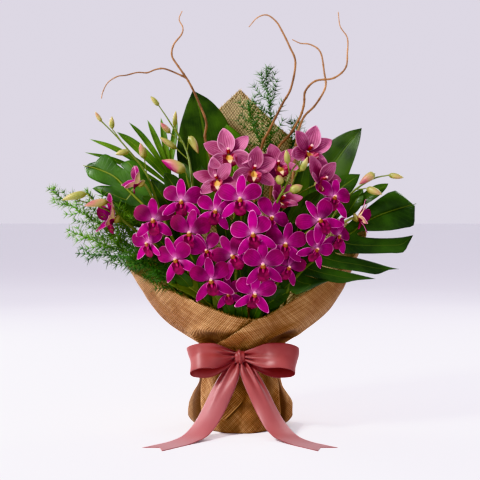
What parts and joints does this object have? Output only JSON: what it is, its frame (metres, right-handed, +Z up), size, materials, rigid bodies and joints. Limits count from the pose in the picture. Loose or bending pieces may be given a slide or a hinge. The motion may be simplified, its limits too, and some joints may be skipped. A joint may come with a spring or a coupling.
{
  "type": "orchid bouquet",
  "caption": "Standing orchid bouquet in a flared burlap wrap over a small vase, tied with a wide satin bow, with leaves, fern sprays and curly twigs.",
  "frame": {"origin": "middle of the wrap's flat foot, on the surface that the bouquet stands on", "axes": "+Z up, -Y the front of the bouquet, where its blooms, its lapped wrap and its bow face, +X the right as seen from the front"},
  "size_m": [0.5533, 0.3263, 0.6463],
  "materials": {
    "glass": "clear, hidden inside the wrap",
    "water": "clear, hidden inside the vase",
    "burlap": "coarse open plain weave, matte brown-tan",
    "ribbon_satin": "dusty rose satin with soft highlights",
    "dendrobium": "fleshy magenta-purple petals, satin",
    "cymbidium": "waxy dusty-pink petals, satin",
    "leaf_green": "leathery dark green leaf, satin",
    "palm_green": "mid green leaf, satin",
    "fern_green": "fine green needles, matte",
    "willow_bark": "thin brown bark, matte"
  },
  "bodies": {
    "root": {"aspidistra_leaf_right": "leaf_green", "aspidistra_leaf_short": "leaf_green", "aspidistra_leaf_tall": "leaf_green", "burlap_wrap": "burlap", "cymbidium_spray_1": "cymbidium", "cymbidium_spray_2": "cymbidium", "dendrobium_spray_1": "dendrobium", "dendrobium_spray_2": "dendrobium", "dendrobium_spray_3": "dendrobium", "dendrobium_spray_4": "dendrobium", "dendrobium_spray_5": "dendrobium", "dendrobium_spray_6": "dendrobium", "dendrobium_spray_7": "dendrobium", "dendrobium_spray_8": "dendrobium", "fern_spray_1": "fern_green", "fern_spray_2": "fern_green", "fern_spray_3": "fern_green", "fern_spray_4": "fern_green", "fern_spray_5": "fern_green", "liner_vase": "glass", "monstera_leaf_left": "leaf_green", "monstera_leaf_right": "leaf_green", "palm_frond": "palm_green", "salal_leaf_back_left": "leaf_green", "salal_leaf_back_middle": "leaf_green", "salal_leaf_back_right": "leaf_green", "salal_leaf_front": "leaf_green", "salal_leaf_front_right": "leaf_green", "salal_leaf_right": "leaf_green", "salal_leaf_rim": "leaf_green", "satin_ribbon_bow": "ribbon_satin", "vase_water": "water", "willow_twig_left": "willow_bark", "willow_twig_middle": "willow_bark", "willow_twig_pale": "willow_bark", "willow_twig_right": "willow_bark"}
  },
  "joints": []
}
